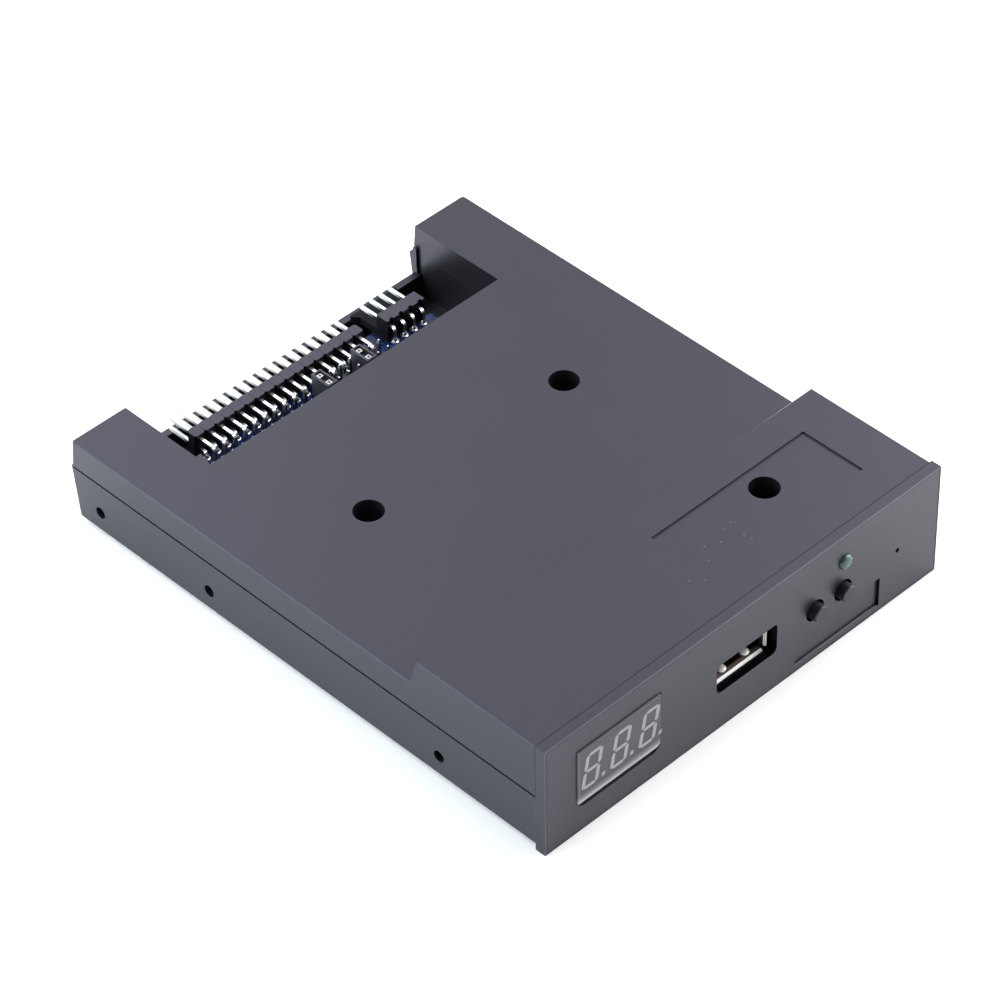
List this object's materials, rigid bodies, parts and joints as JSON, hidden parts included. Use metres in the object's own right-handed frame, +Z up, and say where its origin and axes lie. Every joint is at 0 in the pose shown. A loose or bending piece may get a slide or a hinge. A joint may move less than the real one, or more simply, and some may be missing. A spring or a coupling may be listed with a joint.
{
  "type": "floppy drive emulator",
  "caption": "Slim black drive-bay unit that stands in for a floppy drive: bezel with display, USB socket, push buttons and lamp, open rear notch over a circuit board with pin headers.",
  "frame": {"origin": "middle of the whole unit in plan, at the height of the bezel's lower edge", "axes": "+X to the right seen from the front, +Y from the bezel towards the rear connectors, +Z up"},
  "size_m": [0.1016, 0.1261, 0.0254],
  "materials": {
    "case_plastic": "fine satin moulding texture",
    "dark_steel": "black oxide",
    "board_laminate": "gloss solder mask",
    "chip_epoxy": "matt moulded epoxy",
    "tinned_metal": "bright tin plate",
    "nickel_can": "satin nickel plate",
    "ceramic_tan": "fired ceramic",
    "header_plastic": "matt glass-filled nylon",
    "jumper_plastic": "gloss",
    "tongue_plastic": "matt",
    "contact_gold": "gold flash",
    "display_white": "satin white",
    "segment_epoxy": "unlit milky epoxy",
    "lamp_green": "translucent green epoxy",
    "button_plastic": "satin"
  },
  "bodies": {
    "case": {"base_shell": "case_plastic", "top_cover": "case_plastic", "case_screws": "dark_steel", "circuit_board": "board_laminate", "microcontroller": "chip_epoxy", "microcontroller_leads": "tinned_metal", "quartz_crystal": "nickel_can", "voltage_regulator": "chip_epoxy", "regulator_leads": "tinned_metal", "ceramic_capacitors": "ceramic_tan", "chip_resistors": "chip_epoxy", "interface_header_body": "header_plastic", "interface_header_pins": "tinned_metal", "power_header_body": "header_plastic", "power_header_pins": "tinned_metal", "jumper_header_body": "header_plastic", "jumper_header_pins": "tinned_metal", "jumper_caps": "jumper_plastic", "usb_shell": "nickel_can", "usb_tongue": "tongue_plastic", "usb_contacts": "contact_gold", "display_housing": "display_white", "display_segments": "segment_epoxy", "display_pins": "tinned_metal", "display_board": "board_laminate", "display_driver": "chip_epoxy", "display_driver_leads": "tinned_metal", "display_link_pins": "tinned_metal", "status_led": "lamp_green", "led_leads": "tinned_metal", "left_switch_body": "header_plastic", "left_switch_cover": "nickel_can", "left_switch_terminals": "tinned_metal", "right_switch_body": "header_plastic", "right_switch_cover": "nickel_can", "right_switch_terminals": "tinned_metal"},
    "left_button": {"left_button_plunger": "button_plastic"},
    "right_button": {"right_button_plunger": "button_plastic"}
  },
  "joints": [
    {"name": "left_button_press", "type": "slide", "parent": "case", "child": "left_button", "axis": [0, 1, 0], "range_m": [0, 0.00025], "stiffness_N_per_m": 6000, "springref_m": -0.0001},
    {"name": "right_button_press", "type": "slide", "parent": "case", "child": "right_button", "axis": [0, 1, 0], "range_m": [0, 0.00025], "stiffness_N_per_m": 6000, "springref_m": -0.0001}
  ]
}
